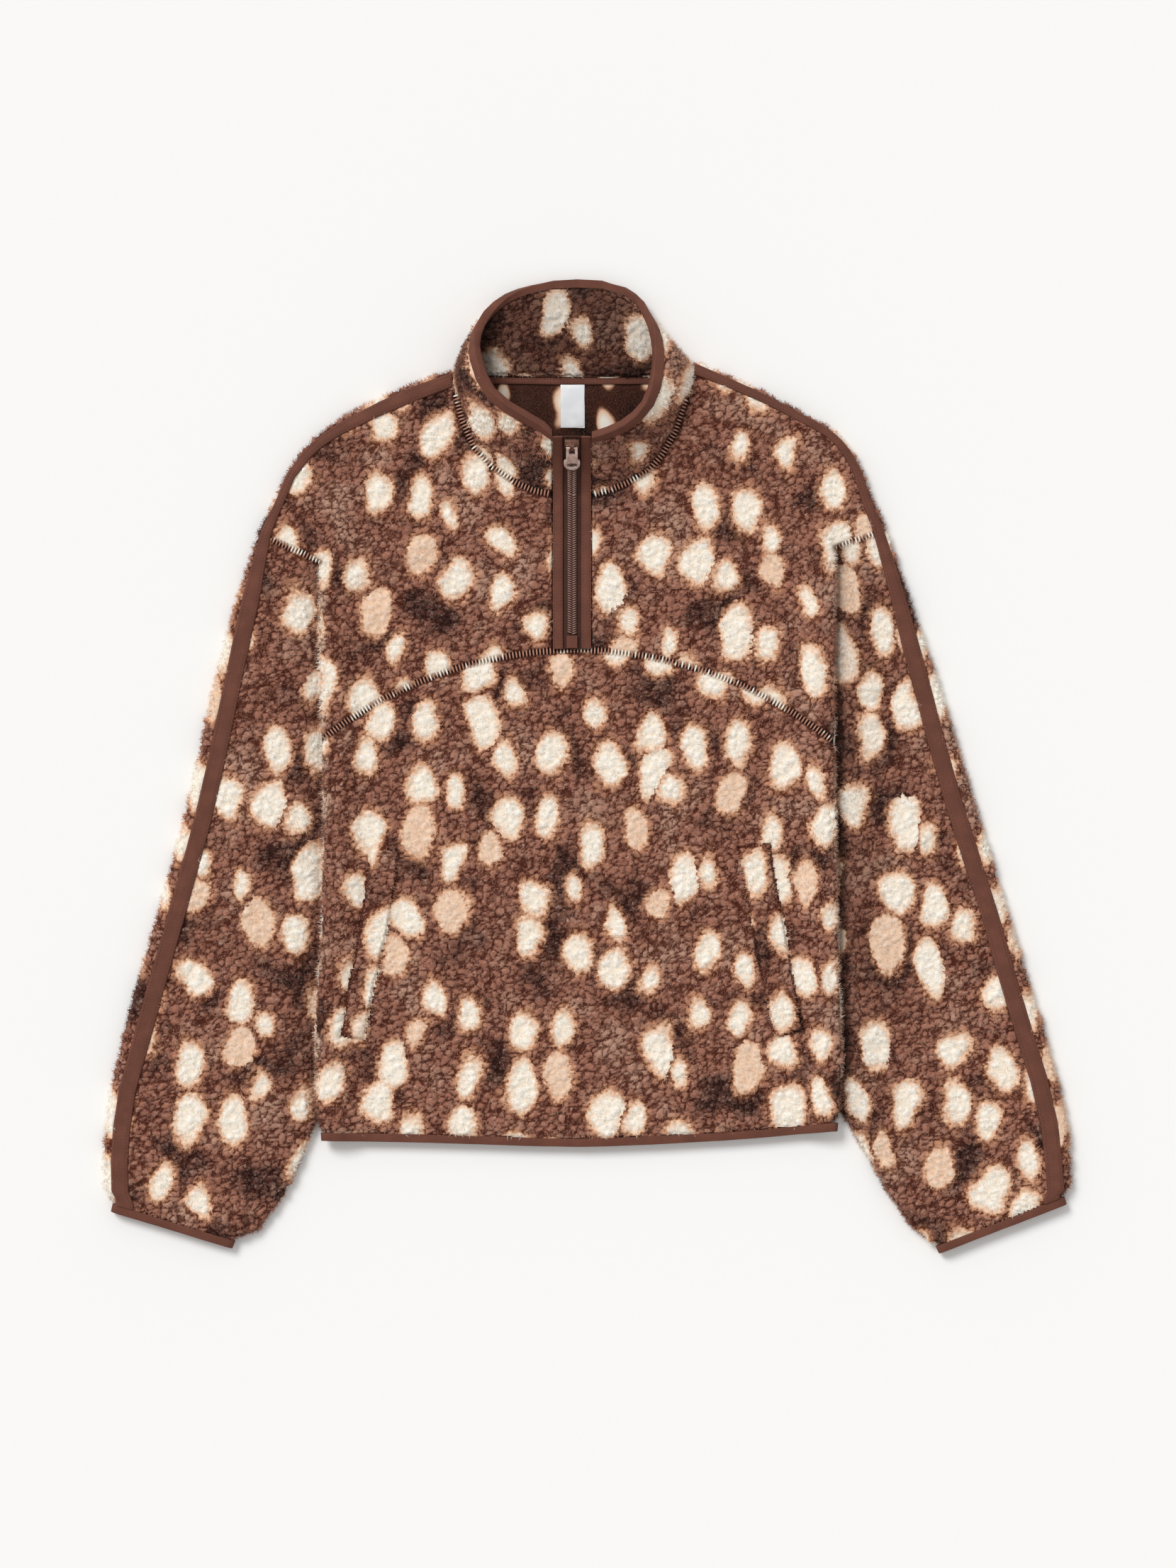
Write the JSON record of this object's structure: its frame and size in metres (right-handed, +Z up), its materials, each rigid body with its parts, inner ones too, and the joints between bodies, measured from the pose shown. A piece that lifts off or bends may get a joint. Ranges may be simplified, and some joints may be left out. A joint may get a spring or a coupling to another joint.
{
  "type": "sherpa fleece pullover laid flat",
  "caption": "Boxy sherpa fleece pullover with a half zip, stand collar, taped sleeves and slanted welt pockets, laid flat on its back.",
  "frame": {"origin": "on the table under the middle of the garment's box", "axes": "+X to the viewer's right, +Y from hem to collar, +Z up from the table"},
  "size_m": [0.7635, 0.7686, 0.0497],
  "materials": {
    "sherpa_fleece": "deep curly pile in brown with cream and peach spots",
    "trim_binding": "matt elastic binding with stitched edges",
    "label_cloth": "blank satin label",
    "zip_tape": "matt woven tape",
    "zip_teeth": "moulded coil",
    "zip_metal": "rose nickel"
  },
  "bodies": {
    "garment": {"back_body": "sherpa_fleece", "collar_binding": "trim_binding", "collar_inner": "sherpa_fleece", "collar_outer": "sherpa_fleece", "cuff_binding_left": "trim_binding", "cuff_binding_right": "trim_binding", "front_body": "sherpa_fleece", "front_yoke_left": "sherpa_fleece", "front_yoke_right": "sherpa_fleece", "hem_binding": "trim_binding", "label": "label_cloth", "neck_tape": "trim_binding", "pocket_welt_left": "sherpa_fleece", "pocket_welt_right": "sherpa_fleece", "shoulder_tape_left": "trim_binding", "shoulder_tape_right": "trim_binding", "sleeve_back_left": "sherpa_fleece", "sleeve_back_right": "sherpa_fleece", "sleeve_front_left": "sherpa_fleece", "sleeve_front_right": "sherpa_fleece", "slider": "zip_metal", "zip_chain": "zip_teeth", "zip_facing_left": "trim_binding", "zip_facing_right": "trim_binding", "zip_stop": "zip_teeth", "zip_tape": "zip_tape"},
    "pull": {"pull_tab": "zip_metal"}
  },
  "joints": [
    {"name": "pull_tab_hinge", "type": "hinge", "parent": "garment", "child": "pull", "pos_m": [-0.0115, 0.25362, 0.04336], "axis": [-1, 0, 0], "range_deg": [0, 150]}
  ]
}
